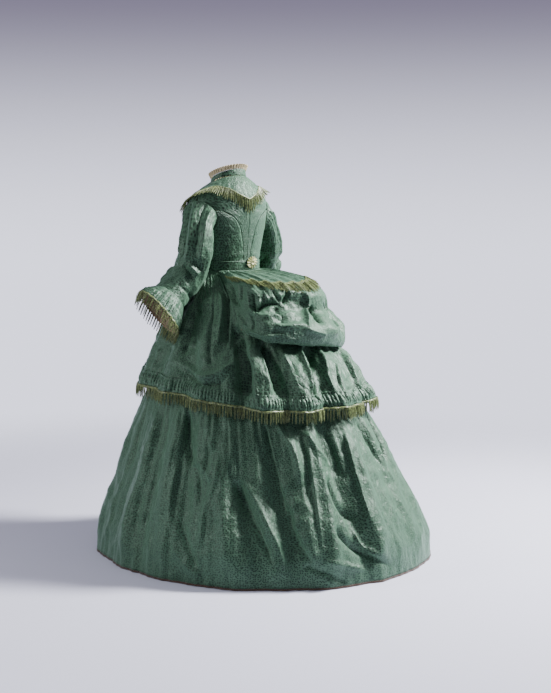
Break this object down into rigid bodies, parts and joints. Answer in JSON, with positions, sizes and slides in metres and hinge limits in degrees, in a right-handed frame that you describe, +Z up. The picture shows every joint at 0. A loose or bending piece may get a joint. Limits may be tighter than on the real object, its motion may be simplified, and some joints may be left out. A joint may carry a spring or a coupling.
{
  "type": "victorian gown",
  "caption": "Silk bustle day gown with a fitted bodice, fringed pointed collar, bell cuffs, draped fringed overskirt and full trained skirt, kept in its worn hollow form.",
  "frame": {"origin": "middle of the waist, where the wearer holds the gown up; the hem is 1.02 m below it", "axes": "+Z up, the wearer faces -Y, and her left is +X"},
  "size_m": [1.1352, 1.2513, 1.3863],
  "materials": {
    "silk": "changeable silk taffeta with a soft sheen",
    "fringe_silk": "olive silk fringe",
    "lace": "cream lace",
    "ribbon": "pale yellow-green silk ribbon",
    "braid": "dull brown wool braid"
  },
  "bodies": {
    "root": {"bodice_back_left": "silk", "bodice_back_right": "silk", "bodice_side_back_left": "silk", "bodice_side_back_right": "silk", "bodice_front_left": "silk", "bodice_front_right": "silk", "collar": "silk", "neck_frill": "lace", "bertha": "silk", "bertha_fringe": "fringe_silk", "sleeve_left": "silk", "sleeve_right": "silk", "cuff_left": "silk", "cuff_right": "silk", "cuff_fringe_left": "fringe_silk", "cuff_fringe_right": "fringe_silk", "belt": "silk", "belt_rosette": "ribbon", "rosette_knot": "ribbon", "button_1": "silk", "button_2": "silk", "button_3": "silk", "button_4": "silk", "button_5": "silk", "button_6": "silk", "button_7": "silk", "peplum": "silk", "peplum_fringe": "fringe_silk", "bustle_pouf": "silk", "overskirt": "silk", "overskirt_ruching": "silk", "overskirt_fringe": "fringe_silk", "skirt": "silk", "hem_braid": "braid"}
  },
  "joints": []
}
